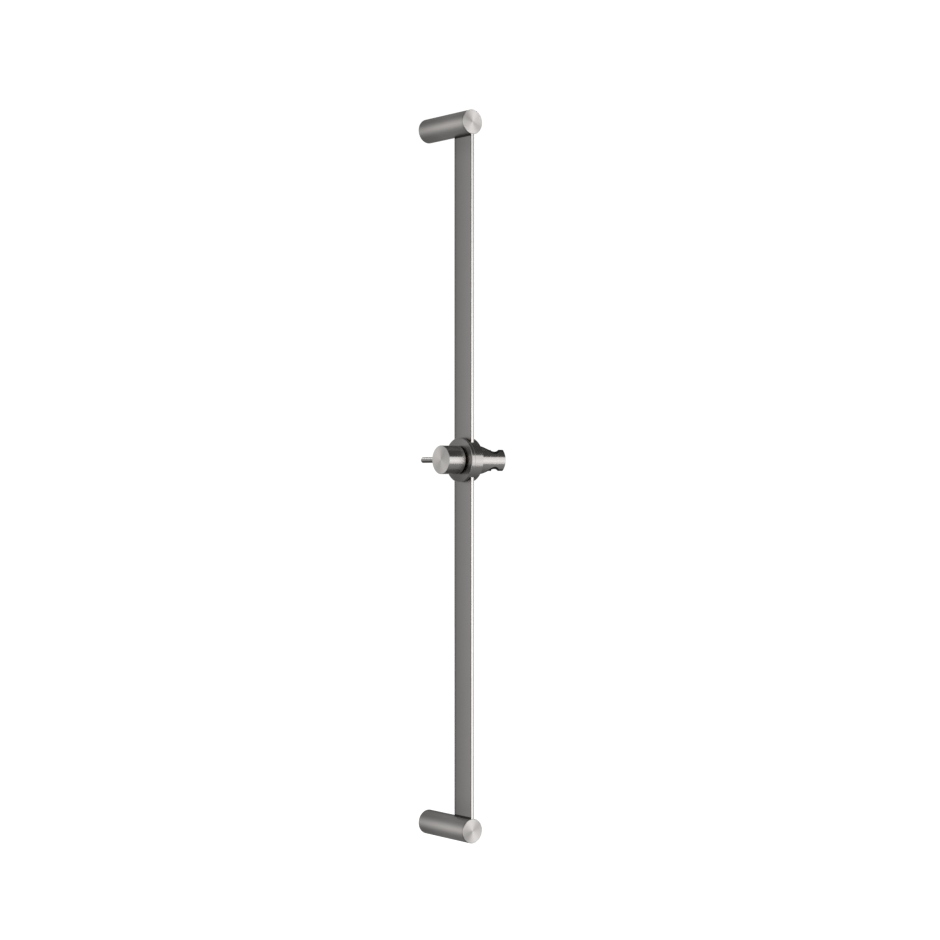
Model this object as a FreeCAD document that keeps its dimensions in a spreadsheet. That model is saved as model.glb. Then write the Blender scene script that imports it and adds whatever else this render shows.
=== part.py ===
import FreeCAD, Part
import math
import os
import re

import Sketcher
from FreeCAD import Placement, Rotation, Vector

# Wall-mounted shower slide rail: a flat bar held edge-on by two round posts, with a round clamp that
# slides on the bar, a clamp knob with a lever pin, and a handset holder that tilts.
# Frame, in millimetres: the wall is the plane y = 0 and the room lies towards -Y, +Z is up, and the
# origin is midway between the two wall screws. +X runs from the knob to the handset holder.

os.makedirs("parts", exist_ok=True)
doc = FreeCAD.newDocument("slide_rail")

# ---------------------------------------------------------------- driving dimensions

DIMENSIONS = [
    # rail
    ("post_spacing", 700.0, "between the two wall screws"),
    ("post_reach", 73.2, "from the wall to the front of the caps"),
    ("post_diameter", 24.2, "outside of a post"),
    ("post_bore", 17.0, "inside of a post"),
    ("post_chamfer", 0.2, "edge at the wall end of a post"),
    ("hairline", 0.15, "edge break on both sides of a close joint"),
    ("cap_thickness", 2.0, "visible disc of a cap"),
    ("cap_chamfer", 0.3, "front edge of a cap"),
    ("spigot_length", 3.5, "part of a cap that enters the post"),
    ("press_gap", 0.02, "radial gap of a press or bonded joint"),
    ("bar_width", 27.1, "bar, from its front edge to its back edge"),
    ("bar_thickness", 3.85, "bar, left to right"),
    ("bar_chamfer", 0.25, "long edges of the bar"),
    ("hook_front", 67.0, "front of the bar's hooks, from the wall"),
    ("hook_rear", 53.0, "back of a hook's neck, from the wall"),
    ("hook_lip", 3.0, "how far a hook reaches behind its slot"),
    ("hook_seat", 8.15, "underside of a hook's lip, from the post's axis"),
    ("hook_tip", 4.0, "end of a hook, from the post's axis"),
    ("slot_gap", 0.05, "room on each side of a hook in its slot"),
    ("boss_length", 20.0, "wall boss inside the end of a post"),
    ("boss_gap", 0.05, "radial gap between boss and post"),
    ("boss_hole", 5.5, "hole for the wall screw"),
    ("boss_head", 11.0, "counterbore for the wall screw's head"),
    ("boss_floor", 12.0, "material under the wall screw's head"),
    ("groove_level", 9.0, "middle of the boss's groove, from the wall"),
    ("groove_depth", 1.2, "groove that the grub screw bites into"),
    ("seal_diameter", 21.0, "outside of the sealing ring"),
    ("seal_thickness", 1.5, "sealing ring and its recess"),
    ("grub_diameter", 4.0, "tapped hole of the grub screw"),
    ("grub_play", 0.02, "radial gap round a screw's thread"),
    ("grub_tip", 0.3, "radius of the grub screw's point"),
    ("grub_start", 7.6, "grub screw's point, from the post's axis"),
    ("grub_end", 11.6, "grub screw's outer end, from the post's axis"),
    ("grub_key", 2.0, "grub screw's socket, across flats"),
    ("grub_key_depth", 1.8, "grub screw's socket"),
    # slider
    ("slider_height", 16.4, "slider's axis above the middle of the rail, at rest"),
    ("disc_diameter", 44.0, "cover plate and slider body"),
    ("disc_chamfer", 0.5, "outer edge of the cover plate"),
    ("disc_back_chamfer", 0.2, "edge of the slider body towards the holder"),
    ("seam_level", 3.2, "bar's mid plane to the cover's seam, and to the track's floor"),
    ("seam_chamfer", 0.2, "edge break on both sides of the seam"),
    ("cover_thickness", 3.8, "cover plate"),
    ("wall_thickness", 3.9, "slider body behind the bar's track"),
    ("track_width", 27.4, "track for the bar"),
    ("liner_width", 24.0, "glide liner, along the bar's width"),
    ("liner_height", 30.0, "glide liner, along the bar's length"),
    ("liner_recess", 0.6, "how deep a glide liner sits in its pocket"),
    ("liner_play", 0.05, "gap round a glide liner"),
    ("glide_gap", 0.075, "gap between the bar and each liner"),
    ("left_eye", 13.0, "hole in the left liner, for the pressure pad"),
    ("right_eye", 10.4, "hole in the right liner, for the pivot screw's head"),
    ("cover_screw_offset", 16.7, "cover screws, from the slider's axis"),
    ("cover_screw_bore", 3.4, "counterbore for a cover screw's head"),
    ("cover_screw_head", 3.2, "cover screw's head"),
    ("cover_screw_sink", 1.6, "depth of that counterbore"),
    ("cover_screw_low", 0.25, "how far the head lies below the cover's face"),
    ("cover_screw_hole", 2.2, "clearance hole in the cover"),
    ("cover_screw_thread", 2.0, "tapped hole in the slider body"),
    ("cover_screw_reach", 5.8, "thread below the seam"),
    ("cover_screw_key", 1.5, "cover screw's socket, across flats"),
    ("cover_screw_key_depth", 0.9, "cover screw's socket"),
    # clamp
    ("bush_diameter", 14.0, "threaded bush"),
    ("bush_length", 10.2, "threaded bush, flange included"),
    ("bush_flange", 19.0, "flange of the bush"),
    ("flange_thickness", 1.6, "flange of the bush"),
    ("pad_well", 1.1, "depth of the pad's well in the bush"),
    ("thread_diameter", 8.0, "clamp spindle's thread, 1 mm pitch"),
    ("thread_play", 0.05, "radial gap of the running thread"),
    ("pad_diameter", 12.4, "pressure pad"),
    ("pad_thickness", 1.7, "pressure pad"),
    ("pad_socket", 4.2, "blind hole for the spindle's nose"),
    ("pad_socket_depth", 1.0, "blind hole for the spindle's nose"),
    ("nose_diameter", 4.0, "spindle's nose"),
    ("nose_gap", 0.05, "between the nose and the floor of its hole"),
    ("nose_length", 2.45, "spindle's nose"),
    ("knob_gap", 2.0, "between the cover and the back of the knob"),
    ("knob_diameter", 28.2, "clamp knob"),
    ("knob_length", 20.2, "clamp knob"),
    ("knob_chamfer", 0.3, "front edge of the knob"),
    ("knob_back_chamfer", 0.4, "back edge of the knob"),
    ("knob_recess", 16.0, "recess round the bush"),
    ("knob_recess_depth", 6.5, "recess round the bush"),
    ("knob_bore_depth", 10.5, "bore for the spindle, beyond the recess"),
    ("pin_level", 19.5, "lever pin's axis, left of the bar's mid plane"),
    ("pin_diameter", 5.7, "lever pin"),
    ("pin_reach", 42.2, "lever pin's tip, from the knob's axis"),
    ("pin_chamfer", 0.5, "lever pin's tip"),
    ("pin_stub", 4.0, "lever pin's threaded stub"),
    ("pin_shoulder", 12.1, "lever pin's shoulder, from the knob's axis"),
    ("pin_spotface", 5.8, "spotface for the lever pin"),
    ("flat_level", 3.5, "flat on the spindle, from its axis"),
    ("flat_length", 5.0, "flat on the spindle"),
    # handset holder
    ("journal_diameter", 16.0, "journal on the slider body"),
    ("journal_length", 3.5, "journal on the slider body"),
    ("holder_gap", 0.2, "between the slider body and the holder"),
    ("holder_diameter", 28.2, "handset holder"),
    ("holder_end", 41.9, "holder's free end, from the bar's mid plane"),
    ("holder_chamfer", 0.4, "end edges of the holder"),
    ("holder_seat", 16.2, "bore that turns on the journal"),
    ("holder_seat_depth", 3.8, "bore that turns on the journal"),
    ("washer_inside", 5.4, "friction washer"),
    ("washer_outside", 15.6, "friction washer"),
    ("washer_thickness", 0.4, "friction washer"),
    ("pivot_diameter", 5.0, "pivot screw's thread"),
    ("pivot_play", 0.07, "radial gap between pivot screw and slider body"),
    ("pivot_head", 9.2, "pivot screw's head"),
    ("pivot_sink", 9.6, "counterbore for the pivot screw's head"),
    ("pivot_sink_depth", 1.5, "counterbore below the track's floor"),
    ("pivot_head_height", 2.25, "pivot screw's head"),
    ("pivot_end", 15.4, "pivot screw's end, from the bar's mid plane"),
    ("pivot_key", 3.0, "pivot screw's socket, across flats"),
    ("pivot_key_depth", 1.5, "pivot screw's socket"),
    ("socket_centre", 29.4, "handset socket's axis, from the bar's mid plane"),
    ("socket_top", 11.48, "radius of the socket at the top of the holder"),
    ("socket_bottom", 10.61, "radius of the socket at the bottom of the holder"),
    ("mouth_top", 9.69, "half width of the hose slot at the top"),
    ("mouth_bottom", 8.8, "half width of the hose slot at the bottom"),
    ("insert_thickness", 1.6, "lining of the socket and the hose slot"),
    ("insert_low", 0.03, "how far the lining lies below the holder's surface"),
    ("overshoot", 1.0, "how far a cutting shape runs past what it cuts"),
]

dims = doc.addObject("Spreadsheet::Sheet", "dims")
for row, (alias, size, meaning) in enumerate(DIMENSIONS, start=1):
    dims.set(f"A{row}", meaning)
    dims.set(f"B{row}", str(size))
    dims.setAlias(f"B{row}", alias)
doc.recompute()

# ---------------------------------------------------------------- ways of making a piece

# How a piece's own axes lie in the frame.
UPRIGHT = Rotation()
ALONG_POST = Rotation(Vector(1, 0, 0), 90)  # the piece's z points away from the wall, its y up
ALONG_POST_TURNED = Rotation(Vector(0, 0, 1), 180)  # the same, rolled half a turn about the post
ALONG_AXLE = Rotation(Vector(1, 1, 1), 120)  # the piece's z points along +X, its x to the wall, its y up
TOWARDS_WALL = Rotation(Vector(1, 0, 0), -90)  # the piece's z points along +Y
POINTING_DOWN = Rotation(Vector(1, 0, 0), 180)

BAR_MIDDLE = "bar_width / 2 - post_reach"

sub_parts = []


def formula(text):
    """An expression on the sheet, from one written with the bare names of its cells."""
    return re.sub(r"[a-z][a-z_]*", r"dims.\g<0>", text)


def number(text):
    """What such an expression comes to now."""
    return float(dims.evalExpression(formula(text)))


def place(item, position, rotation):
    """Turns an object and binds its place to three expressions."""
    item.Placement = Placement(Vector(), rotation)
    for axis, text in zip("xyz", position):
        item.setExpression(f"Placement.Base.{axis}", formula(text))


def new_body(label, position=("0", "0", "0"), rotation=UPRIGHT, counts=True):
    """An empty PartDesign body; counts is False for one that only feeds a boolean."""
    body = doc.addObject("PartDesign::Body", label)
    body.Label = label
    place(body, position, rotation)
    if counts:
        sub_parts.append(body)
    return body


def new_sketch(body, name, role, level="0"):
    """A sketch on one of the body's own origin planes, or parallel to it at a level."""
    sketch = body.newObject("Sketcher::SketchObject", name)
    plane = next(item for item in body.Origin.OriginFeatures if item.Role == role)
    sketch.AttachmentSupport = (plane, "")
    sketch.MapMode = "FlatFace"
    sketch.setExpression("AttachmentOffset.Base.z", formula(level))
    return sketch


def bind(sketch, kind, name, text, *where):
    """Adds a driving constraint whose size is an expression."""
    index = sketch.addConstraint(Sketcher.Constraint(kind, *where, number(text)))
    sketch.renameConstraint(index, name)
    sketch.setExpression("Constraints." + name, formula(text))


def add_outline(sketch, corners):
    """A closed outline of straight edges through corners given as pairs of expressions."""
    first = sketch.GeometryCount
    count = len(corners)
    points = [Vector(number(across), number(up), 0) for across, up in corners]
    for i, point in enumerate(points):
        sketch.addGeometry(Part.LineSegment(point, points[(i + 1) % count]))
    for i in range(count):
        sketch.addConstraint(Sketcher.Constraint("Coincident", first + i, 2, first + (i + 1) % count, 1))
    for i, (across, up) in enumerate(corners):
        bind(sketch, "DistanceX", f"across{first + i}", across, -1, 1, first + i, 1)
        bind(sketch, "DistanceY", f"up{first + i}", up, -1, 1, first + i, 1)


def add_circle(sketch, diameter, across="0", up="0"):
    centre = Vector(number(across), number(up), 0)
    index = sketch.addGeometry(Part.Circle(centre, Vector(0, 0, 1), number(diameter) / 2))
    bind(sketch, "DistanceX", f"across{index}", across, -1, 1, index, 3)
    bind(sketch, "DistanceY", f"up{index}", up, -1, 1, index, 3)
    bind(sketch, "Diameter", f"diameter{index}", diameter, index)


def add_hexagon(sketch, key, across="0", up="0"):
    """A hexagonal socket, key across its flats."""
    corners = []
    for i in range(6):
        angle = math.radians(60 * i + 30)
        corner = [f"{centre} + {key} * {part / math.sqrt(3):.6f}"
                  for centre, part in ((across, math.cos(angle)), (up, math.sin(angle)))]
        corners.append(tuple(corner))
    add_outline(sketch, corners)


def rectangle(left, right, low, high):
    return [(left, low), (right, low), (right, high), (left, high)]


def turn(body, name, corners, axis_at=None):
    """Turns an outline of (radius, level) about the body's z axis, or about a line beside it."""
    sketch = new_sketch(body, name + "_outline", "XZ_Plane")
    if axis_at is None:
        add_outline(sketch, corners)
        axis = "V_Axis"
    else:
        add_outline(sketch, [(f"{axis_at} + {radius}", level) for radius, level in corners])
        x = number(axis_at)
        line = sketch.addGeometry(Part.LineSegment(Vector(x, 0, 0), Vector(x, 1, 0)), True)
        sketch.addConstraint(Sketcher.Constraint("Vertical", line))
        bind(sketch, "DistanceX", "axis_across", axis_at, -1, 1, line, 1)
        bind(sketch, "DistanceY", "axis_low", "0", -1, 1, line, 1)
        bind(sketch, "DistanceY", "axis_high", "1", -1, 1, line, 2)
        axis = "Axis0"
    solid = body.newObject("PartDesign::Revolution", name)
    solid.Profile = sketch
    solid.ReferenceAxis = (sketch, [axis])
    solid.Angle = 360
    doc.recompute()
    return solid


def pad(body, name, sketch, length, both_ways=False):
    solid = body.newObject("PartDesign::Pad", name)
    solid.Profile = sketch
    solid.setExpression("Length", formula(length))
    if both_ways:
        solid.SideType = "Symmetric"
    doc.recompute()
    return solid


def cut(body, name, sketch, depth, against=True, both_ways=False):
    """A pocket against its sketch's normal, or along it, which must take material away."""
    before = body.Shape.Volume
    pocket = body.newObject("PartDesign::Pocket", name)
    pocket.Profile = sketch
    pocket.setExpression("Length", formula(depth))
    pocket.Reversed = not against
    if both_ways:
        pocket.SideType = "Symmetric"
    doc.recompute()
    if not body.Shape.Volume < before:
        raise RuntimeError(f"{name} of {body.Label} removes nothing")
    return pocket


def key_socket(body, name, key, depth, level, against, across="0"):
    """A hexagonal socket sunk into an end face at a level."""
    sketch = new_sketch(body, name + "_outline", "XY_Plane", level)
    add_hexagon(sketch, key, across)
    cut(body, name, sketch, depth, against)


def drill(body, name, diameter, depth, level, against, centres=(("0", "0"),), role="XY_Plane"):
    """Round holes from a plane parallel to one of the body's own."""
    sketch = new_sketch(body, name + "_circles", role, level)
    for across, up in centres:
        add_circle(sketch, diameter, across, up)
    cut(body, name, sketch, depth, against)


# ---------------------------------------------------------------- rail


def make_bar():
    """The flat bar, with a hook at each end that lies inside the post."""
    body = new_body("rail_bar")
    sketch = new_sketch(body, "bar_side", "YZ_Plane")
    shoulder = "(post_spacing / 2 - post_diameter / 2)"
    seat = "(post_spacing / 2 - hook_seat)"
    tip = "(post_spacing / 2 - hook_tip)"
    up = [
        ("-post_reach", shoulder),
        ("-hook_front", shoulder),
        ("-hook_front", tip),
        ("hook_lip - hook_rear", tip),
        ("hook_lip - hook_rear", seat),
        ("-hook_rear", seat),
        ("-hook_rear", shoulder),
        ("bar_width - post_reach", shoulder),
    ]
    down = [(across, "-" + level) for across, level in reversed(up)]
    add_outline(sketch, up + down)
    plate = pad(body, "bar_plate", sketch, "bar_thickness", both_ways=True)
    long_edges = [
        f"Edge{i}"
        for i, edge in enumerate(plate.Shape.Edges, start=1)
        if edge.Length > number("post_spacing / 2")
    ]
    chamfer = body.newObject("PartDesign::Chamfer", "bar_edges")
    chamfer.Base = (plate, long_edges)
    chamfer.setExpression("Size", formula("bar_chamfer"))


def make_post(label, height, rotation):
    """A tube from the wall to its cap, slotted for the bar's hook and tapped on the far side."""
    body = new_body(label, ("0", "0", height), rotation)
    radius = "post_diameter / 2"
    front = "post_reach - cap_thickness"
    turn(body, label + "_tube", [
        ("post_bore / 2", "seal_thickness"),
        ("seal_diameter / 2", "seal_thickness"),
        ("seal_diameter / 2", "0"),
        (f"{radius} - post_chamfer", "0"),
        (radius, "post_chamfer"),
        (radius, f"{front} - hairline"),
        (f"{radius} - hairline", front),
        ("post_bore / 2", front),
    ])
    side = "bar_thickness / 2 + slot_gap"
    slot = new_sketch(body, label + "_slot_outline", "XZ_Plane")
    add_outline(slot, rectangle(f"-({side})", side, "hook_rear - slot_gap", "post_reach"))
    cut(body, label + "_slot", slot, "post_diameter", against=False)
    drill(body, label + "_tapping", "grub_diameter", "post_diameter", "0", True,
          [("0", "groove_level")], role="XZ_Plane")


def make_cap(label, height, rotation):
    """The turned disc that closes a post, with a spigot that traps the bar's hook."""
    body = new_body(label, ("0", "0", height), rotation)
    radius = "post_diameter / 2"
    spigot = "post_bore / 2 - press_gap"
    joint = "post_reach - cap_thickness"
    turn(body, label + "_disc", [
        ("0", f"{joint} - spigot_length"),
        (f"{spigot} - hairline", f"{joint} - spigot_length"),
        (spigot, f"{joint} - spigot_length + hairline"),
        (spigot, joint),
        (f"{radius} - hairline", joint),
        (radius, f"{joint} + hairline"),
        (radius, "post_reach - cap_chamfer"),
        (f"{radius} - cap_chamfer", "post_reach"),
        ("0", "post_reach"),
    ])


def make_wall_boss(label, height, rotation):
    """The plug screwed to the wall that a post slips over, with the groove its grub screw holds."""
    body = new_body(label, ("0", "0", height), rotation)
    radius = "post_bore / 2 - boss_gap"
    turn(body, label + "_plug", [
        ("boss_hole / 2", "0"),
        (radius, "0"),
        (radius, "groove_level - groove_depth"),
        (f"{radius} - groove_depth", "groove_level"),
        (radius, "groove_level + groove_depth"),
        (radius, "boss_length - post_chamfer"),
        (f"{radius} - post_chamfer", "boss_length"),
        ("boss_head / 2", "boss_length"),
        ("boss_head / 2", "boss_floor"),
        ("boss_hole / 2", "boss_floor"),
    ])


def make_wall_seal(label, height, rotation):
    """The rubber ring in the wall end of a post, flush with the wall."""
    body = new_body(label, ("0", "0", height), rotation)
    turn(body, label + "_ring", [
        ("post_bore / 2", "0"),
        ("seal_diameter / 2", "0"),
        ("seal_diameter / 2", "seal_thickness"),
        ("post_bore / 2", "seal_thickness"),
    ])


def make_grub_screw(label, height, rotation):
    """The cone-point screw that draws a post onto its boss; its axis crosses the post's."""
    body = new_body(label, ("0", "-groove_level", height), rotation)
    radius = "grub_diameter / 2 - grub_play"
    turn(body, label + "_screw", [
        ("0", "grub_start"),
        ("grub_tip", "grub_start"),
        (radius, f"grub_start + {radius} - grub_tip"),
        (radius, "grub_end - hairline"),
        (f"{radius} - hairline", "grub_end"),
        ("0", "grub_end"),
    ])
    key_socket(body, label + "_socket", "grub_key", "grub_key_depth", "grub_end", True)


def make_rail():
    make_bar()
    ends = [
        ("upper", "post_spacing / 2", ALONG_POST, UPRIGHT),
        ("lower", "-post_spacing / 2", ALONG_POST * ALONG_POST_TURNED, POINTING_DOWN),
    ]
    for end, height, along_post, outwards in ends:
        make_post(end + "_post", height, along_post)
        make_cap(end + "_post_cap", height, along_post)
        make_wall_boss(end + "_wall_boss", height, along_post)
        make_wall_seal(end + "_wall_seal", height, along_post)
        make_grub_screw(end + "_grub_screw", height, outwards)


# ---------------------------------------------------------------- slider

AXLE = ("0", BAR_MIDDLE, "slider_height")
COVER_FACE = "-seam_level - cover_thickness"
LEFT_POCKET = "-seam_level - liner_recess"
RIGHT_POCKET = "seam_level + liner_recess"
BODY_FACE = "seam_level + wall_thickness"
SCREW_PLACES = [("-cover_screw_offset", "0"), ("cover_screw_offset", "0")]


def liner_outline(grow):
    across = f"liner_width / 2 + {grow}"
    up = f"liner_height / 2 + {grow}"
    return rectangle(f"-({across})", across, f"-({up})", up)


def make_slider_body():
    """The disc behind the bar, with the bar's track, the liner's pocket and the holder's journal."""
    body = new_body("slider_body", AXLE, ALONG_AXLE)
    radius = "disc_diameter / 2"
    bore = "pivot_diameter / 2 + pivot_play"
    turn(body, "body_disc", [
        (bore, "-seam_level"),
        (f"{radius} - seam_chamfer", "-seam_level"),
        (radius, "seam_chamfer - seam_level"),
        (radius, f"{BODY_FACE} - disc_back_chamfer"),
        (f"{radius} - disc_back_chamfer", BODY_FACE),
        ("journal_diameter / 2", BODY_FACE),
        ("journal_diameter / 2", f"{BODY_FACE} + journal_length - hairline"),
        ("journal_diameter / 2 - hairline", f"{BODY_FACE} + journal_length"),
        (bore, f"{BODY_FACE} + journal_length"),
    ])
    track = new_sketch(body, "track_outline", "XZ_Plane")
    add_outline(track, rectangle("-track_width / 2", "track_width / 2",
                                 "-seam_level - overshoot", "seam_level"))
    cut(body, "track", track, "2 * disc_diameter", both_ways=True)
    pocket = new_sketch(body, "liner_pocket_outline", "XY_Plane", RIGHT_POCKET)
    add_outline(pocket, liner_outline("0"))
    cut(body, "liner_pocket", pocket, "liner_recess + overshoot")
    drill(body, "pivot_counterbore", "pivot_sink", "pivot_sink_depth + overshoot",
          "seam_level + pivot_sink_depth", True)
    drill(body, "cover_screw_tappings", "cover_screw_thread", "cover_screw_reach + overshoot",
          "cover_screw_reach - seam_level + seam_chamfer", True, SCREW_PLACES)


def make_cover_plate():
    """The disc in front of the bar that carries the clamp's bush."""
    body = new_body("cover_plate", AXLE, ALONG_AXLE)
    radius = "disc_diameter / 2"
    bore = "bush_diameter / 2 + press_gap"
    flange = "bush_flange / 2 + press_gap"
    flange_back = f"{LEFT_POCKET} - flange_thickness"
    turn(body, "cover_disc", [
        (bore, COVER_FACE),
        (f"{radius} - disc_chamfer", COVER_FACE),
        (radius, f"{COVER_FACE} + disc_chamfer"),
        (radius, "-seam_level - seam_chamfer"),
        (f"{radius} - seam_chamfer", "-seam_level"),
        (flange, "-seam_level"),
        (flange, flange_back),
        (bore, flange_back),
    ])
    pocket = new_sketch(body, "cover_liner_pocket_outline", "XY_Plane", LEFT_POCKET)
    add_outline(pocket, liner_outline("0"))
    cut(body, "cover_liner_pocket", pocket, "liner_recess + overshoot", against=False)
    drill(body, "cover_screw_holes", "cover_screw_hole", "cover_thickness + 2 * overshoot",
          "overshoot - seam_level", True, SCREW_PLACES)
    drill(body, "cover_screw_counterbores", "cover_screw_bore", "cover_screw_sink + overshoot",
          f"{COVER_FACE} + cover_screw_sink", True, SCREW_PLACES)


def make_cover_screws():
    """The two socket screws that hold the cover to the slider body, one each side of the bar."""
    body = new_body("cover_screws", AXLE, ALONG_AXLE)
    top = f"({COVER_FACE} + cover_screw_low)"
    under_head = f"({COVER_FACE} + cover_screw_sink)"
    thread = "cover_screw_thread / 2 - grub_play"
    end = "(cover_screw_reach - seam_level)"
    turn(body, "cover_screw", [
        ("0", top),
        ("cover_screw_head / 2 - hairline", top),
        ("cover_screw_head / 2", f"{top} + hairline"),
        ("cover_screw_head / 2", under_head),
        (thread, under_head),
        (thread, end),
        ("0", end),
    ], axis_at="cover_screw_offset")
    key_socket(body, "cover_screw_socket", "cover_screw_key", "cover_screw_key_depth", top, False,
               "cover_screw_offset")
    mirror = body.newObject("PartDesign::Mirrored", "second_cover_screw")
    mirror.Originals = [doc.getObject("cover_screw"), doc.getObject("cover_screw_socket")]
    mirror.MirrorPlane = (next(p for p in body.Origin.OriginFeatures if p.Role == "YZ_Plane"), [""])
    body.Tip = mirror
    doc.recompute()


def make_glide_liner(label, start, thickness, eye):
    """A nylon plate between the bar and one half of the slider."""
    body = new_body(label, AXLE, ALONG_AXLE)
    sketch = new_sketch(body, label + "_outline", "XY_Plane", start)
    add_outline(sketch, liner_outline("-liner_play"))
    add_circle(sketch, eye)
    pad(body, label + "_plate", sketch, thickness)


def make_spindle_bush():
    """The flanged bush whose thread carries the clamp spindle; the pad draws back into its well."""
    body = new_body("spindle_bush", AXLE, ALONG_AXLE)
    end = f"{LEFT_POCKET} - bush_length"
    turn(body, "bush", [
        ("thread_diameter / 2", end),
        ("bush_diameter / 2 - holder_chamfer", end),
        ("bush_diameter / 2", f"{end} + holder_chamfer"),
        ("bush_diameter / 2", f"{LEFT_POCKET} - flange_thickness"),
        ("bush_flange / 2", f"{LEFT_POCKET} - flange_thickness"),
        ("bush_flange / 2", LEFT_POCKET),
        ("left_eye / 2", LEFT_POCKET),
        ("left_eye / 2", f"{LEFT_POCKET} - pad_well"),
        ("thread_diameter / 2", f"{LEFT_POCKET} - pad_well"),
    ])


def make_friction_washer():
    """The washer on the end of the journal that keeps the holder where it is put."""
    body = new_body("friction_washer", AXLE, ALONG_AXLE)
    start = f"{BODY_FACE} + journal_length"
    turn(body, "washer", rectangle("washer_inside / 2", "washer_outside / 2", start,
                                   f"{start} + washer_thickness"))


def make_slider():
    make_slider_body()
    make_cover_plate()
    make_cover_screws()
    clear_of_bar = "bar_thickness / 2 + glide_gap"
    thickness = f"seam_level + liner_recess - ({clear_of_bar})"
    make_glide_liner("left_glide_liner", LEFT_POCKET, thickness, "left_eye")
    make_glide_liner("right_glide_liner", clear_of_bar, thickness, "right_eye")
    make_spindle_bush()
    make_friction_washer()


# ---------------------------------------------------------------- clamp

PAD_FACE = "-(bar_thickness / 2 + glide_gap)"
KNOB_BACK = f"{COVER_FACE} - knob_gap"
KNOB_FACE = f"{KNOB_BACK} - knob_length"


def make_pressure_pad():
    """The disc that the spindle presses against the bar."""
    body = new_body("pressure_pad", AXLE, ALONG_AXLE)
    back = f"{PAD_FACE} - pad_thickness"
    turn(body, "pad_disc", [
        ("0", f"{back} + pad_socket_depth"),
        ("pad_socket / 2", f"{back} + pad_socket_depth"),
        ("pad_socket / 2", back),
        ("pad_diameter / 2", back),
        ("pad_diameter / 2", f"{PAD_FACE} - hairline"),
        ("pad_diameter / 2 - hairline", PAD_FACE),
        ("0", PAD_FACE),
    ])


def make_clamp_spindle():
    """The threaded spindle, with a nose that turns in the pad and a flat for the lever pin."""
    body = new_body("clamp_spindle", AXLE, ALONG_AXLE)
    radius = "thread_diameter / 2 - thread_play"
    nose_end = f"({PAD_FACE} - pad_thickness + pad_socket_depth - nose_gap)"
    inner_end = f"({KNOB_BACK} - knob_recess_depth - knob_bore_depth + hairline)"
    turn(body, "spindle", [
        ("0", nose_end),
        ("nose_diameter / 2", nose_end),
        ("nose_diameter / 2", f"{nose_end} - nose_length"),
        (f"{radius} - holder_chamfer", f"{nose_end} - nose_length"),
        (radius, f"{nose_end} - nose_length - holder_chamfer"),
        (radius, inner_end),
        ("0", inner_end),
    ])
    flat = new_sketch(body, "pin_flat_outline", "XZ_Plane")
    add_outline(flat, rectangle("flat_level", "thread_diameter",
                                "-pin_level - flat_length / 2", "flat_length / 2 - pin_level"))
    cut(body, "pin_flat", flat, "2 * thread_diameter", both_ways=True)


def make_knob():
    """The turned knob, recessed round the bush and cross-drilled for the lever pin."""
    body = new_body("clamp_knob", AXLE, ALONG_AXLE)
    radius = "knob_diameter / 2"
    recess_floor = f"{KNOB_BACK} - knob_recess_depth"
    turn(body, "knob", [
        ("0", KNOB_FACE),
        (f"{radius} - knob_chamfer", KNOB_FACE),
        (radius, f"{KNOB_FACE} + knob_chamfer"),
        (radius, f"{KNOB_BACK} - knob_back_chamfer"),
        (f"{radius} - knob_back_chamfer", KNOB_BACK),
        ("knob_recess / 2", KNOB_BACK),
        ("knob_recess / 2", recess_floor),
        ("thread_diameter / 2", recess_floor),
        ("thread_diameter / 2", f"{recess_floor} - knob_bore_depth"),
        ("0", f"{recess_floor} - knob_bore_depth"),
    ])
    drill(body, "pin_tapping", "pin_stub", "knob_diameter", "0", False,
          [("0", "-pin_level")], role="YZ_Plane")
    drill(body, "pin_spotface", "pin_spotface", "knob_diameter", "pin_shoulder", False,
          [("0", "-pin_level")], role="YZ_Plane")


def make_lever_pin():
    """The lever pin, whose threaded stub also locks the spindle in the knob."""
    body = new_body("lever_pin", ("-pin_level", BAR_MIDDLE, "slider_height"), TOWARDS_WALL)
    stub = "pin_stub / 2 - grub_play"
    turn(body, "pin", [
        ("0", "flat_level + nose_gap"),
        (stub, "flat_level + nose_gap"),
        (stub, "pin_shoulder"),
        ("pin_diameter / 2", "pin_shoulder"),
        ("pin_diameter / 2", "pin_reach - pin_chamfer"),
        ("pin_diameter / 2 - pin_chamfer", "pin_reach"),
        ("0", "pin_reach"),
    ])


def make_clamp():
    make_pressure_pad()
    make_clamp_spindle()
    make_knob()
    make_lever_pin()


# ---------------------------------------------------------------- handset holder


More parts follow.
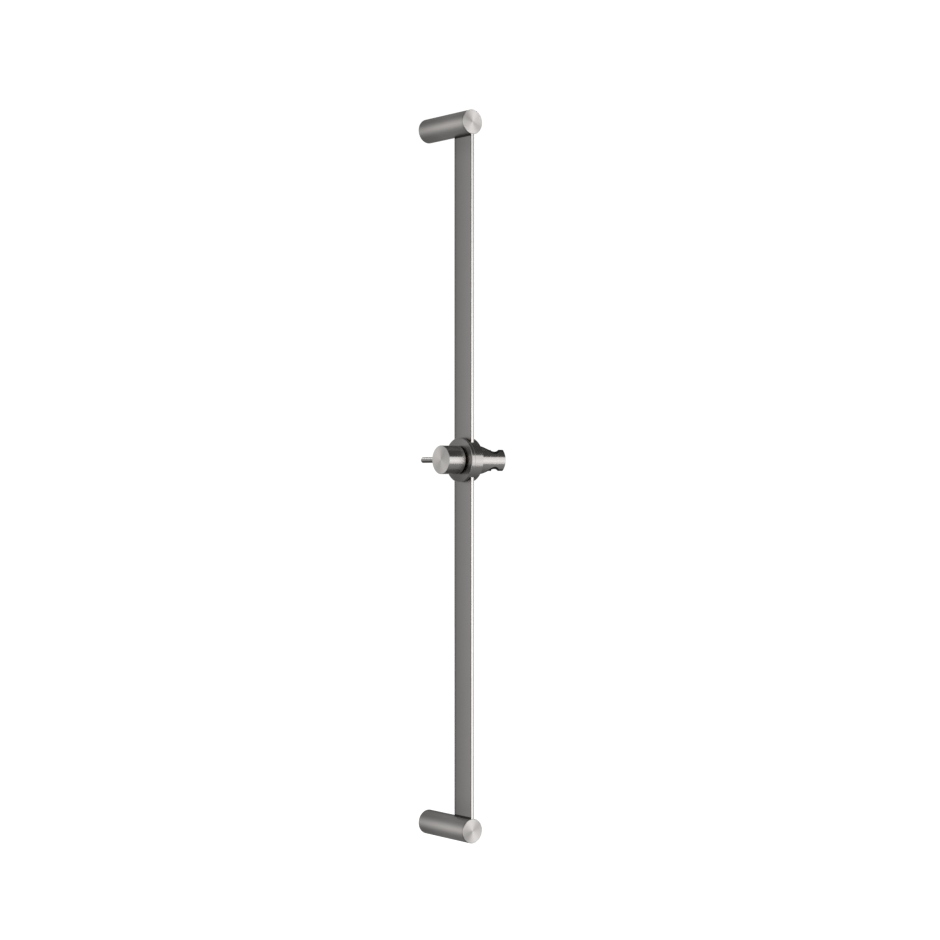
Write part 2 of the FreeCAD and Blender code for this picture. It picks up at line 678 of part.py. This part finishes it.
def socket_shape(name, grow):
    """The tapered hole with its hose slot, enlarged all round, as one cutting shape."""
    taper = "(socket_top - socket_bottom) / holder_diameter"
    flare = "(mouth_top - mouth_bottom) / holder_diameter"
    height = "holder_diameter + 2 * overshoot"
    foot = ("socket_centre", BAR_MIDDLE, "slider_height - holder_diameter / 2 - overshoot")

    cone = doc.addObject("Part::Cone", name + "_hole")
    cone.setExpression("Radius1", formula(f"socket_bottom + {grow} - overshoot * {taper}"))
    cone.setExpression("Radius2", formula(f"socket_top + {grow} + overshoot * {taper}"))
    cone.setExpression("Height", formula(height))
    place(cone, foot, UPRIGHT)

    slot = doc.addObject("Part::Wedge", name + "_slot")
    low = f"mouth_bottom + {grow} - overshoot * {flare}"
    high = f"mouth_top + {grow} + overshoot * {flare}"
    length = "holder_end - socket_centre + overshoot"
    sizes = [
        ("Xmin", "0"), ("Xmax", length), ("X2min", "0"), ("X2max", length),
        ("Ymin", "0"), ("Ymax", height),
        ("Zmin", f"-({low})"), ("Zmax", low), ("Z2min", f"-({high})"), ("Z2max", high),
    ]
    for field, text in sizes:
        setattr(slot, field, number(text))
        slot.setExpression(field, formula(text))
    place(slot, foot, ALONG_POST)

    shape = doc.addObject("Part::Fuse", name)
    shape.Base = cone
    shape.Tool = slot
    doc.recompute()
    return shape


def make_holder():
    """The cylinder that turns on the journal, its lining, and the screw that it turns with."""
    start = f"({BODY_FACE} + holder_gap)"
    seat = f"{start} + holder_seat_depth"
    radius = "holder_diameter / 2"
    blank = new_body("holder_blank", AXLE, ALONG_AXLE, counts=False)
    turn(blank, "holder_bar", [
        ("0", "pivot_end + hairline"),
        ("pivot_diameter / 2", "pivot_end + hairline"),
        ("pivot_diameter / 2", seat),
        ("holder_seat / 2", seat),
        ("holder_seat / 2", start),
        (f"{radius} - holder_chamfer", start),
        (radius, f"{start} + holder_chamfer"),
        (radius, "holder_end - holder_chamfer"),
        (f"{radius} - holder_chamfer", "holder_end"),
        ("0", "holder_end"),
    ])
    holder = doc.addObject("Part::Cut", "handset_holder")
    holder.Base = blank
    holder.Tool = socket_shape("metal_opening", "insert_thickness")
    sub_parts.append(holder)

    round_limit = doc.addObject("Part::Cylinder", "lining_limit")
    round_limit.setExpression("Radius", formula(f"{radius} - insert_low"))
    round_limit.setExpression("Height", formula(f"holder_end - holder_chamfer - {start}"))
    place(round_limit, (start, BAR_MIDDLE, "slider_height"), ALONG_AXLE)
    blank_lining = doc.addObject("Part::Common", "lining_blank")
    blank_lining.Base = socket_shape("lining_outside", "insert_thickness")
    blank_lining.Tool = round_limit
    lining = doc.addObject("Part::Cut", "holder_lining")
    lining.Base = blank_lining
    lining.Tool = socket_shape("lining_inside", "0")
    sub_parts.append(lining)
    doc.recompute()


def make_pivot_screw():
    """The screw whose head runs in the slider body and whose thread is locked in the holder."""
    body = new_body("pivot_screw", AXLE, ALONG_AXLE)
    thread = "pivot_diameter / 2 - grub_play"
    under_head = "(seam_level + pivot_sink_depth - nose_gap)"
    top = f"({under_head} - pivot_head_height)"
    turn(body, "pivot", [
        ("0", top),
        ("pivot_head / 2 - holder_chamfer", top),
        ("pivot_head / 2", f"{top} + holder_chamfer"),
        ("pivot_head / 2", under_head),
        (thread, under_head),
        (thread, "pivot_end - holder_chamfer"),
        (f"{thread} - holder_chamfer", "pivot_end"),
        ("0", "pivot_end"),
    ])
    key_socket(body, "pivot_socket", "pivot_key", "pivot_key_depth", top, False)


# ---------------------------------------------------------------- build, check and write


def check_document():
    """Stops on any object that failed, and on any sub-part without a sound shape."""
    for item in doc.Objects:
        if "Invalid" in item.State or "Error" in item.State:
            raise RuntimeError(f"{item.Label} did not recompute: {item.State}")
    for item in sub_parts:
        if item.Shape.isNull() or not item.Shape.isValid() or not item.Shape.Solids:
            raise RuntimeError(f"{item.Label} has no sound solid")


def write_parts():
    for item in sub_parts:
        item.Shape.exportStep(f"parts/{item.Label}.step")
        print(f"{item.Label:20s} {len(item.Shape.Solids)} solid(s) {item.Shape.Volume / 1000:8.3f} cm3")


make_rail()
make_slider()
make_clamp()
make_holder()
make_pivot_screw()
doc.recompute()
check_document()
write_parts()
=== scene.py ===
import math

import bpy
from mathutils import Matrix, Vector


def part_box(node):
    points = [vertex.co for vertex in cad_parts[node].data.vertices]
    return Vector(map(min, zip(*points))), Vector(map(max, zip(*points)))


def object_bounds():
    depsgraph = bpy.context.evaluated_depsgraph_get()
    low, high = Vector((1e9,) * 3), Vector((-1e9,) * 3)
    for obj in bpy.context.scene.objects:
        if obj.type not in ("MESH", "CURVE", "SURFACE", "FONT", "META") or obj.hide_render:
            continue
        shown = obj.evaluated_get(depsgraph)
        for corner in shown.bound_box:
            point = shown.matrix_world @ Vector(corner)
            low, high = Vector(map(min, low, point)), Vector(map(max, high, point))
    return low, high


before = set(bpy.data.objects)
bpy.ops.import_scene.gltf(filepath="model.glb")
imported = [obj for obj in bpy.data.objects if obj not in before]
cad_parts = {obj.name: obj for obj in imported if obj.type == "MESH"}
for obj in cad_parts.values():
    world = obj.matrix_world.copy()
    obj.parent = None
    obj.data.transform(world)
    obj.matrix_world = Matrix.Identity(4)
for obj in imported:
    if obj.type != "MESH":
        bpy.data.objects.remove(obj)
CAD_LOW, CAD_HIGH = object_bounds()

# ---------------------------------------------------------------- places read from the frame


def middle(node):
    """Centre of a CAD node's box."""
    low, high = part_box(node)
    return (low + high) / 2


BAR_LOW, BAR_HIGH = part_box("rail_bar")
BAR_HOOK = 8.1  # mm at each end of the bar that lie inside a post
UP = Vector((0.0, 0.0, 1.0))

# ---------------------------------------------------------------- node helpers

WARM_STEEL = (1.0, 0.965, 0.935)  # tint of the brushed stainless steel
WHITE = (1.0, 1.0, 1.0, 1.0)
TO_MILLIMETRES = 1000.0


class Graph:
    """A node tree with short calls for the nodes that the materials and the world share."""

    def __init__(self, tree):
        self.tree = tree
        tree.nodes.clear()

    def node(self, kind, **settings):
        made = self.tree.nodes.new(kind)
        for field, value in settings.items():
            setattr(made, field, value)
        return made

    def feed(self, socket, value):
        """Links an output to a socket, or sets a constant on it."""
        if isinstance(value, bpy.types.NodeSocket):
            self.tree.links.new(value, socket)
        else:
            socket.default_value = value

    def math(self, operation, *values, clamp=False):
        made = self.node("ShaderNodeMath", operation=operation, use_clamp=clamp)
        for socket, value in zip(made.inputs, values):
            self.feed(socket, value)
        return made.outputs[0]

    def vector_math(self, operation, *values):
        made = self.node("ShaderNodeVectorMath", operation=operation)
        for socket, value in zip(made.inputs, values):
            self.feed(socket, value)
        return made.outputs["Value" if operation in ("DOT_PRODUCT", "LENGTH") else "Vector"]

    def scaled(self, vector, factor):
        made = self.node("ShaderNodeVectorMath", operation="SCALE")
        self.feed(made.inputs[0], vector)
        self.feed(made.inputs["Scale"], factor)
        return made.outputs["Vector"]

    def ramp(self, value, start, end, low=0.0, high=1.0):
        """A smooth step from low to high as the value goes from start to end."""
        made = self.node("ShaderNodeMapRange", interpolation_type="SMOOTHSTEP")
        sizes = (value, start, end, low, high)
        for name, size in zip(("Value", "From Min", "From Max", "To Min", "To Max"), sizes):
            self.feed(made.inputs[name], size)
        return made.outputs["Result"]

    def noise(self, vector, scale, detail=2.0, roughness=0.5):
        made = self.node("ShaderNodeTexNoise", noise_dimensions="3D")
        self.feed(made.inputs["Vector"], vector)
        made.inputs["Scale"].default_value = scale
        made.inputs["Detail"].default_value = detail
        made.inputs["Roughness"].default_value = roughness
        return made.outputs["Fac"]

    def blend(self, factor, first, second):
        """Mixes two colours."""
        made = self.node("ShaderNodeMix", data_type="RGBA")
        self.feed(made.inputs["Factor"], factor)
        for socket, value in ((made.inputs["A"], first), (made.inputs["B"], second)):
            self.feed(socket, value)
        return made.outputs["Result"]


def new_material(name):
    material = bpy.data.materials.new(name)
    material.use_nodes = True
    graph = Graph(material.node_tree)
    shader = graph.node("ShaderNodeBsdfPrincipled")
    output = graph.node("ShaderNodeOutputMaterial")
    graph.feed(output.inputs["Surface"], shader.outputs["BSDF"])
    return material, graph, shader


def dress(node, material):
    """Gives every slot of a CAD node one material."""
    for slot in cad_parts[node].material_slots:
        slot.material = material


# ---------------------------------------------------------------- brushed and turned steel

BRUSH_DEPTH = 0.00001  # metres
MOULDED_DEPTH = 0.00003  # metres
QUARTER_TURN = 0.25

# tones of the bar, with painted light and shade: its wide faces, the right one painted lighter, the
# front edge a painted highlight, and a painted shade stripe on the edge's right
BAR_LEFT_FACE = 0.375
BAR_RIGHT_FACE_PAINTED_LIGHTER = 0.60
BAR_EDGE_PAINTED_HIGHLIGHT = 0.98
BAR_PAINTED_SHADE_STRIPE = 0.45


def streaks(graph, across):
    """Brush lines from a position in millimetres squeezed along the lines: 0 to 1 about a half."""
    fine = graph.noise(across, 5.0, detail=2.0, roughness=0.6)
    broad = graph.noise(across, 0.9, detail=1.0)
    slow = graph.noise(across, 0.12, detail=1.0)
    mixed = graph.math("MULTIPLY_ADD", broad, 0.35, graph.math("MULTIPLY", fine, 0.45))
    return graph.math("MULTIPLY_ADD", slow, 0.2, mixed), fine


def finish_steel(graph, shader, lines, level, roughness, contrast, smudge_at):
    """Colour, roughness and relief of steel from its brush lines; level is its tone, which may vary
    over the piece and may carry painted light and shade.
    """
    smudge = graph.noise(smudge_at, 0.03, detail=3.0)
    tone = graph.math("MULTIPLY_ADD", graph.math("SUBTRACT", lines[0], 0.5), contrast, 1.0)
    tone = graph.math("MULTIPLY", tone, graph.ramp(smudge, 0.3, 0.7, 0.97, 1.03))
    colour = graph.scaled(WARM_STEEL, graph.math("MULTIPLY", tone, level))
    graph.feed(shader.inputs["Base Color"], colour)
    rough = graph.math("MULTIPLY_ADD", graph.math("SUBTRACT", lines[0], 0.5), 0.05, roughness)
    rough = graph.math("ADD", rough, graph.ramp(smudge, 0.35, 0.75, -0.012, 0.018))
    graph.feed(shader.inputs["Roughness"], rough)
    bump = graph.node("ShaderNodeBump")
    bump.inputs["Strength"].default_value = 0.12
    bump.inputs["Distance"].default_value = BRUSH_DEPTH
    graph.feed(bump.inputs["Height"], lines[1])
    graph.feed(shader.inputs["Normal"], bump.outputs["Normal"])
    shader.inputs["Metallic"].default_value = 1.0


def painted_glints(graph, across, up, waves):
    """A painted fan of highlight and shade on a turned face: 1 plus waves of (count round, amount,
    degrees).
    """
    angle = graph.math("ARCTAN2", up, across)
    total = 1.0
    for count, amount, degrees in waves:
        turned = graph.math("SUBTRACT", angle, math.radians(degrees))
        wave = graph.math("COSINE", graph.math("MULTIPLY", turned, float(count)))
        total = graph.math("MULTIPLY_ADD", wave, amount, total)
    return total


def turned_steel(name, axis, centre, levels, roughness, anisotropy, painted_face_waves=(), painted_side_waves=(),
                 painted_drift=None):
    """Steel turned about an axis: lines run round the sides and in rings on the flat faces.

    levels are the tones of its sides, chamfers and faces; they differ as painted light and shade, set
    for how light falls on each, and the waves lay painted fans of highlight and shade on sides and
    faces. drift paints light and shade along the axis: where, from the centre, the tones start and
    end to change, in millimetres, and how many times larger they become.
    """
    material, graph, shader = new_material(name)
    position = graph.node("ShaderNodeTexCoord").outputs["Object"]
    offset = graph.scaled(graph.vector_math("SUBTRACT", position, centre), TO_MILLIMETRES)
    direction = Vector([float(letter == axis) for letter in "XYZ"])
    along = graph.vector_math("DOT_PRODUCT", offset, direction)
    flat = graph.vector_math("MULTIPLY", offset, Vector((1, 1, 1)) - direction)
    radius = graph.vector_math("LENGTH", flat)
    ring = graph.math("ADD", along, radius)
    lines_at = graph.vector_math("ADD", graph.scaled(direction, ring), graph.scaled(flat, 0.01))
    sideways = Vector((1, 0, 0)) if axis == "Y" else Vector((0, -1, 0))
    across = graph.vector_math("DOT_PRODUCT", offset, sideways)
    up = graph.vector_math("DOT_PRODUCT", offset, UP)
    side, chamfer, face = levels
    # painted highlight and shade: fans of waves laid on the side and face tones
    side = graph.math("MULTIPLY", painted_glints(graph, across, up, painted_side_waves), side)
    face = graph.math("MULTIPLY", painted_glints(graph, across, up, painted_face_waves), face)
    normal = graph.node("ShaderNodeNewGeometry").outputs["Normal"]
    facing = graph.math("ABSOLUTE", graph.vector_math("DOT_PRODUCT", normal, direction))
    # painted light and shade: sides, chamfers and faces each take their own tone
    level = graph.ramp(facing, 0.35, 0.6, side, chamfer)
    level = graph.ramp(facing, 0.85, 0.98, level, face)
    # painted light and shade along the axis
    if painted_drift:
        level = graph.math("MULTIPLY", level, graph.ramp(along, painted_drift[0], painted_drift[1], 1.0, painted_drift[2]))
    finish_steel(graph, shader, streaks(graph, lines_at), level, roughness, 0.12, offset)
    tangent = graph.node("ShaderNodeTangent", direction_type="RADIAL", axis=axis)
    graph.feed(shader.inputs["Tangent"], tangent.outputs["Tangent"])
    shader.inputs["Anisotropic"].default_value = anisotropy
    shader.inputs["Anisotropic Rotation"].default_value = QUARTER_TURN
    return material


def bar_steel(name):
    """The flat bar: brushed across its width, with painted shade darker to the back and to its ends.

    Its front edge has a painted highlight, with a painted shade stripe on its right. Its right face
    is painted lighter than its left. A painted shadow line marks where each end enters a post.
    """
    material, graph, shader = new_material(name)
    position = graph.node("ShaderNodeTexCoord").outputs["Object"]
    offset = graph.scaled(graph.vector_math("SUBTRACT", position, (BAR_LOW + BAR_HIGH) / 2),
                          TO_MILLIMETRES)
    lines_at = graph.vector_math("MULTIPLY", offset, Vector((0.05, 0.01, 1.0)))
    parts = graph.node("ShaderNodeSeparateXYZ")
    graph.feed(parts.inputs[0], offset)
    width, length = ((BAR_HIGH - BAR_LOW) * TO_MILLIMETRES)[1:]
    # painted shade: darker towards the back, darkest at the back edge, and a painted shade line along
    # the front of each face
    back = graph.math("MULTIPLY_ADD", parts.outputs["Y"], 1.0 / width, 0.5, clamp=True)
    painted_shade = graph.math("MULTIPLY_ADD", back, -0.32, 1.0)
    painted_shade = graph.math("MULTIPLY_ADD", graph.math("POWER", back, 14.0), -0.44, painted_shade)
    painted_shade = graph.math("MULTIPLY", painted_shade, graph.ramp(back, 0.010, 0.035, 0.2, 1.0))
    end = graph.math("ABSOLUTE", parts.outputs["Z"])
    shoulder = length / 2 - BAR_HOOK
    # painted shade darker towards the ends, and a painted shadow line where each end enters a post
    painted_shade = graph.math("MULTIPLY", painted_shade, graph.ramp(end, shoulder - 25, shoulder - 6, 1.0, 0.88))
    painted_shade = graph.math("MULTIPLY", painted_shade, graph.ramp(end, shoulder - 2.0, shoulder - 1.4, 1.0, 0.12))
    # painted highlight on the front edge, with a painted shade stripe on its right
    edge = graph.ramp(parts.outputs["X"], 0.2, 0.7, BAR_EDGE_PAINTED_HIGHLIGHT, BAR_PAINTED_SHADE_STRIPE)
    normal = graph.node("ShaderNodeNewGeometry").outputs["Normal"]
    facing = graph.math("ABSOLUTE", graph.vector_math("DOT_PRODUCT", normal, Vector((0, 1, 0))))
    # painted light: the right face lighter than the left
    face = graph.ramp(parts.outputs["X"], -1.0, 1.0, BAR_LEFT_FACE, BAR_RIGHT_FACE_PAINTED_LIGHTER)
    side = graph.math("MULTIPLY", painted_shade, face)
    level = graph.ramp(facing, 0.8, 0.95, side, edge)
    finish_steel(graph, shader, streaks(graph, lines_at), level, 0.36, 0.10, offset)
    shader.inputs["Anisotropic"].default_value = 0.8
    upright = graph.node("ShaderNodeCombineXYZ")
    upright.inputs["Z"].default_value = 1.0
    graph.feed(shader.inputs["Tangent"], upright.outputs[0])
    return material


def plain_steel(name, level, roughness):
    """Machined screws and plugs, with a soft mottle."""
    material, graph, shader = new_material(name)
    position = graph.scaled(graph.node("ShaderNodeTexCoord").outputs["Object"], TO_MILLIMETRES)
    finish_steel(graph, shader, streaks(graph, position), level, roughness, 0.2, position)
    return material


def brass(name):
    material, graph, shader = new_material(name)
    position = graph.scaled(graph.node("ShaderNodeTexCoord").outputs["Object"], TO_MILLIMETRES)
    mottle = graph.noise(position, 1.5, detail=3.0)
    colour = graph.blend(mottle, (0.62, 0.43, 0.17, 1.0), (0.78, 0.58, 0.27, 1.0))
    graph.feed(shader.inputs["Base Color"], colour)
    graph.feed(shader.inputs["Roughness"], graph.ramp(mottle, 0.3, 0.7, 0.26, 0.36))
    shader.inputs["Metallic"].default_value = 1.0
    return material


def moulded(name, level, roughness, grain):
    """Black nylon or rubber with a fine moulded grain."""
    material, graph, shader = new_material(name)
    position = graph.scaled(graph.node("ShaderNodeTexCoord").outputs["Object"], TO_MILLIMETRES)
    speck = graph.noise(position, grain, detail=3.0)
    tone = graph.ramp(speck, 0.3, 0.7, 0.8, 1.2)
    graph.feed(shader.inputs["Base Color"], graph.scaled((level, level, level), tone))
    smooth, rough = roughness - 0.06, roughness + 0.06
    graph.feed(shader.inputs["Roughness"], graph.ramp(speck, 0.25, 0.75, smooth, rough))
    bump = graph.node("ShaderNodeBump")
    bump.inputs["Strength"].default_value = 0.3
    bump.inputs["Distance"].default_value = MOULDED_DEPTH
    graph.feed(bump.inputs["Height"], speck)
    graph.feed(shader.inputs["Normal"], bump.outputs["Normal"])
    return material


def make_materials():
    slider_axis = middle("clamp_knob")
    # painted fans of highlight and shade on the cover, body and knob faces
    cover_painted_fan = [(1, 0.22, 90.0), (1, 0.22, 0.0), (2, 0.14, 0.0)]
    knob_painted_fan = [(1, 0.10, 167.0), (2, 0.17, -47.0), (4, 0.03, 26.0)]
    # painted shade: the faces of the cover and body darker than their sides, with painted highlight
    # on the chamfers
    disc = turned_steel("disc_steel", "X", slider_axis, (0.50, 0.58, 0.200), 0.26, 0.7, cover_painted_fan)
    # painted highlight: the knob brighter towards its back end
    knob = turned_steel("knob_steel", "X", slider_axis, (0.56, 0.60, 0.53), 0.26, 0.7, knob_painted_fan,
                        painted_drift=(4.0, 10.0, 1.7))
    holder = turned_steel("holder_steel", "X", slider_axis, (0.56, 0.60, 0.55), 0.26, 0.7)
    # painted highlight along the pin's top, made by waves round its axis
    pin = turned_steel("pin_steel", "Y", middle("lever_pin"), (0.37, 0.58, 0.40), 0.30, 0.4,
                       painted_side_waves=[(1, 0.3, 90.0), (2, 0.35, 130.0)])
    # lit and shaded copies: the upper cap's face painted lighter than the lower one's
    for end, way, tone in (("upper", 1.0, 0.735), ("lower", -1.0, 0.595)):
        axis = middle(f"{end}_post")
        # painted fans of highlight and shade on each cap's face, mirrored from upper to lower
        cap_painted_fan = [(1, 0.10, -15.0 * way), (2, 0.21, 66.0 * way), (4, 0.03, 0.0)]
        # painted shade: each post darker towards the wall
        post = turned_steel(f"{end}_post_steel", "Y", axis, (0.585, 0.585, 0.57), 0.45, 0.4,
                            painted_drift=(-15.0, 45.0, 0.74))
        # painted highlight: each cap's chamfer brighter than its side
        cap = turned_steel(f"{end}_cap_steel", "Y", axis, (0.44, 0.74, tone), 0.32, 0.9, cap_painted_fan)
        dress(f"{end}_post", post)
        dress(f"{end}_post_cap", cap)
    dress("rail_bar", bar_steel("bar_steel"))
    dress("slider_body", disc)
    dress("cover_plate", disc)
    dress("clamp_knob", knob)
    dress("handset_holder", holder)
    dress("lever_pin", pin)
    screw = plain_steel("screw_steel", 0.42, 0.35)
    screws = ("upper_grub_screw", "lower_grub_screw", "cover_screws", "clamp_spindle", "pivot_screw")
    for node in screws:
        dress(node, screw)
    boss = plain_steel("boss_steel", 0.5, 0.4)
    for node in ("upper_wall_boss", "lower_wall_boss"):
        dress(node, boss)
    dress("spindle_bush", brass("bush_brass"))
    nylon = moulded("black_nylon", 0.02, 0.45, 4.0)
    for node in ("left_glide_liner", "right_glide_liner", "friction_washer", "pressure_pad"):
        dress(node, nylon)
    dress("holder_lining", moulded("lining_nylon", 0.008, 0.5, 4.0))
    rubber = moulded("seal_rubber", 0.03, 0.7, 2.5)
    for node in ("upper_wall_seal", "lower_wall_seal"):
        dress(node, rubber)


# ---------------------------------------------------------------- camera, stage and light

CAMERA_AZIMUTH = math.radians(38.073)  # the camera looks this far to the right of +Y, level
CAMERA_DISTANCE = 2.0691
CAMERA_OFFSET = 0.04254  # sideways from the middle of the rail, to the camera's right
CAMERA_LENS = 78.09
FRAMING_SHIFT = 0.0069
FROM_THE_ROOM = Vector((-math.sin(CAMERA_AZIMUTH), -math.cos(CAMERA_AZIMUTH), 0.0))
BEHIND_RIGHT = Vector((0.707, 0.707, 0.0))
BACKDROP = 1.05  # brightness of the white behind the object
STUDIO_LEFT = 0.21  # brightness of the studio in reflections, left and upper right
STUDIO_UPPER_RIGHT = 0.035


def make_camera():
    forward = Vector((math.sin(CAMERA_AZIMUTH), math.cos(CAMERA_AZIMUTH), 0.0))
    right = Vector((math.cos(CAMERA_AZIMUTH), -math.sin(CAMERA_AZIMUTH), 0.0))
    data = bpy.data.cameras.new("camera")
    data.lens = CAMERA_LENS
    data.sensor_width = 36.0
    data.shift_y = FRAMING_SHIFT
    camera = bpy.data.objects.new("camera", data)
    camera.location = right * CAMERA_OFFSET - forward * CAMERA_DISTANCE
    camera.rotation_euler = (math.radians(90), 0.0, -CAMERA_AZIMUTH)
    bpy.context.scene.collection.objects.link(camera)
    bpy.context.scene.camera = camera


def make_floor():
    """A plain pale floor well below the rail, which hangs on a wall."""
    size = 12.0
    drop = 0.35
    half = size / 2
    mesh = bpy.data.meshes.new("floor")
    mesh.from_pydata([(-half, -half, 0), (half, -half, 0), (half, half, 0), (-half, half, 0)],
                     [], [(0, 1, 2, 3)])
    floor = bpy.data.objects.new("floor", mesh)
    floor.location.z = CAD_LOW.z - drop
    bpy.context.scene.collection.objects.link(floor)
    material, graph, shader = new_material("pale_floor")
    position = graph.node("ShaderNodeTexCoord").outputs["Object"]
    shade = graph.ramp(graph.noise(position, 1.5), 0.3, 0.7, 0.93, 0.95)
    graph.feed(shader.inputs["Base Color"], graph.scaled((1.0, 1.0, 1.0), shade))
    shader.inputs["Roughness"].default_value = 0.9
    shader.inputs["Emission Color"].default_value = WHITE
    shader.inputs["Emission Strength"].default_value = 0.9
    mesh.materials.append(material)
    floor.visible_glossy = False
    floor.visible_diffuse = False


def softbox(name, target, azimuth, elevation, distance, width, height, radiance):
    """A soft light facing a point of the rail; azimuth is to the right of -Y, seen from the room."""
    a = math.radians(azimuth)
    e = math.radians(elevation)
    towards = Vector((math.sin(a) * math.cos(e), -math.cos(a) * math.cos(e), math.sin(e)))
    data = bpy.data.lights.new(name, "AREA")
    data.shape = "RECTANGLE"
    data.size = width
    data.size_y = height
    data.energy = radiance * math.pi * width * height
    light = bpy.data.objects.new(name, data)
    light.location = Vector(target) + towards * distance
    light.rotation_mode = "QUATERNION"
    light.rotation_quaternion = towards.to_track_quat("Z", "Y")
    light.visible_camera = False
    bpy.context.scene.collection.objects.link(light)
    return light


def make_lights():
    """A large soft light at the front right, dimmer in its lower part, and a small one for the pin.

    The small one is behind and above the lever pin, lights nothing else, and stays where it is.
    """
    softbox("front_right", (0.0, 0.0, 0.20), azimuth=38.0, elevation=0.0, distance=3.0,
            width=2.2, height=1.60, radiance=1.32)
    softbox("front_right_low", (0.0, 0.0, -0.95), azimuth=38.0, elevation=0.0, distance=3.0,
            width=2.2, height=0.70, radiance=0.95)
    pin_light = softbox("pin_light", middle("lever_pin"), azimuth=196.0, elevation=36.0, distance=1.0,
                        width=0.45, height=0.45, radiance=1.5)
    lit = bpy.data.collections.new("lit_by_pin_light")
    lit.objects.link(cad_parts["lever_pin"])
    pin_light.light_linking.receiver_collection = lit


def make_world():
    """White behind the object, and a dim studio in what it reflects, darkest at the upper right.

    Five soft lights are added to it: from the room, from behind on the right, right, left and above.
    """
    world = bpy.data.worlds.new("studio")
    world.use_nodes = True
    bpy.context.scene.world = world
    graph = Graph(world.node_tree)
    direction = graph.node("ShaderNodeTexCoord").outputs["Generated"]
    parts = graph.node("ShaderNodeSeparateXYZ")
    graph.feed(parts.inputs[0], direction)
    x, y, z = parts.outputs[:3]
    under = graph.ramp(z, -0.85, -0.45, 0.38, 0.50)
    under = graph.math("MULTIPLY", under, graph.ramp(y, -0.6, 0.4, 0.76, 0.30))
    right = graph.ramp(z, -0.12, 0.12, under, STUDIO_UPPER_RIGHT)
    glow = graph.math("MULTIPLY", graph.ramp(graph.math("ABSOLUTE", z), 0.02, 0.62, 0.60, 0.0),
                      graph.ramp(y, 0.1, 0.5))
    left = graph.math("ADD", glow, STUDIO_LEFT)
    level = graph.ramp(x, 0.32, 0.56, left, right)
    room = graph.vector_math("DOT_PRODUCT", direction, FROM_THE_ROOM)
    behind = graph.vector_math("DOT_PRODUCT", direction, BEHIND_RIGHT)
    for along, start, end, amount in ((room, 0.72, 0.97, 0.55), (x, 0.88, 0.97, 0.60),
                                      (behind, 0.93, 0.99, 0.5), (x, -0.84, -0.95, 0.40),
                                      (z, 0.91, 0.98, 0.60)):
        level = graph.math("ADD", level, graph.ramp(along, start, end, 0.0, amount))
    seen = graph.node("ShaderNodeLightPath").outputs["Is Camera Ray"]
    lit = graph.math("MULTIPLY", graph.math("SUBTRACT", 1.0, seen), level)
    strength = graph.math("ADD", lit, graph.math("MULTIPLY", seen, BACKDROP))
    background = graph.node("ShaderNodeBackground")
    background.inputs["Color"].default_value = WHITE
    graph.feed(background.inputs["Strength"], strength)
    output = graph.node("ShaderNodeOutputWorld")
    graph.feed(output.inputs["Surface"], background.outputs[0])


bpy.context.scene.view_settings.view_transform = "Standard"
make_camera()
make_floor()
make_lights()
make_world()
make_materials()
